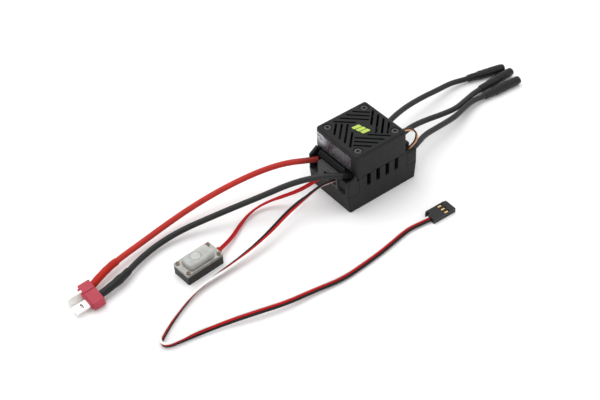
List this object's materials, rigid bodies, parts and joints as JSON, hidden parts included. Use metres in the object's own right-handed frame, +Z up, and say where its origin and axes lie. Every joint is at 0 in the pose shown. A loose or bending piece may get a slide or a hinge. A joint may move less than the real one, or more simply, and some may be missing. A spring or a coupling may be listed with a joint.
{
  "type": "electronic speed controller",
  "caption": "Fan-cooled brushless motor controller for a model car with battery leads and plug, sleeved motor sockets, push switch and receiver lead.",
  "frame": {"origin": "centre of the housing's underside (its bounding box without the free leads)", "axes": "+X towards the motor leads, +Y towards the far long side, +Z up through the fan"},
  "size_m": [0.2849, 0.0841, 0.0343],
  "materials": {
    "housing_black": "fine moulded texture",
    "end_wall_grey": "fine moulded texture",
    "cover_black": "fine moulded texture",
    "screw_black": "black oxide",
    "label_dark": "blank glossy film",
    "badge_lime": "satin",
    "fan_plastic": "moulded",
    "steel": "plain",
    "bronze": "sintered",
    "copper": "enamelled winding",
    "heatsink_alu": "extruded",
    "thermal_grey": "soft pad",
    "chip_black": "moulded epoxy",
    "board_green": "solder mask",
    "can_aluminium": "satin",
    "shrink_gloss": "glossy sleeve",
    "sealant_black": "poured sealant",
    "thin_wire_dark": "two thin insulated wires",
    "silicone_red": "matt silicone",
    "silicone_black": "matt silicone",
    "shrink_red": "shrink sleeve",
    "shrink_black": "shrink sleeve",
    "plug_rose": "moulded nylon",
    "blade_plated": "plated copper",
    "gold_plate": "gold plated",
    "wire_red": "thin insulated wires",
    "switch_plastic": "moulded",
    "switch_steel": "satin plate",
    "boot_rubber": "translucent silicone",
    "button_white": "satin",
    "ribbon_mixed": "three-wire ribbon",
    "servo_plastic": "moulded"
  },
  "bodies": {
    "controller": {"base_housing": "housing_black", "input_end_wall": "end_wall_grey", "output_end_wall": "end_wall_grey", "fan_cover": "cover_black", "cover_screws": "screw_black", "label_plate": "label_dark", "top_badge": "badge_lime", "fan_frame": "fan_plastic", "fan_bearing": "bronze", "fan_coil": "copper", "heatsink": "heatsink_alu", "thermal_pad": "thermal_grey", "power_transistors": "chip_black", "power_board": "board_green", "control_board": "board_green", "board_pins": "chip_black", "control_chips": "chip_black", "input_capacitors": "can_aluminium", "capacitor_sleeve": "shrink_gloss", "input_seal": "sealant_black", "output_seal": "sealant_black", "fan_lead": "thin_wire_dark", "battery_lead_red": "silicone_red", "battery_lead_black": "silicone_black", "battery_sleeve_red": "shrink_red", "battery_sleeve_black": "shrink_black", "battery_plug_body": "plug_rose", "plug_blade_flat": "blade_plated", "plug_blade_upright": "blade_plated", "motor_lead_a": "silicone_black", "motor_lead_b": "silicone_black", "motor_lead_c": "silicone_black", "bullet_sleeve_a": "shrink_black", "bullet_sleeve_b": "shrink_black", "bullet_sleeve_c": "shrink_black", "bullet_socket_a": "gold_plate", "bullet_socket_b": "gold_plate", "bullet_socket_c": "gold_plate", "switch_lead": "wire_red", "switch_grommet": "shrink_red", "switch_case": "switch_plastic", "switch_frame": "switch_steel", "switch_boot": "boot_rubber", "switch_screws": "steel", "switch_core": "switch_plastic", "button_spring": "steel", "receiver_lead": "ribbon_mixed", "receiver_plug": "servo_plastic", "receiver_contacts": "gold_plate"},
    "fan_rotor": {"fan_rotor": "fan_plastic", "fan_shaft": "steel"},
    "switch_button": {"switch_button": "button_white"}
  },
  "joints": [
    {"name": "fan_spin", "type": "hinge", "parent": "controller", "child": "fan_rotor", "pos_m": [-0.001, 0, 0.0276], "axis": [0, 0, 1], "continuous": true},
    {"name": "button_press", "type": "slide", "parent": "controller", "child": "switch_button", "axis": [0, 0, -1], "range_m": [0, 0.0008], "stiffness_N_per_m": 1200, "springref_m": -0.0005, "deforming": ["button_spring"]}
  ]
}
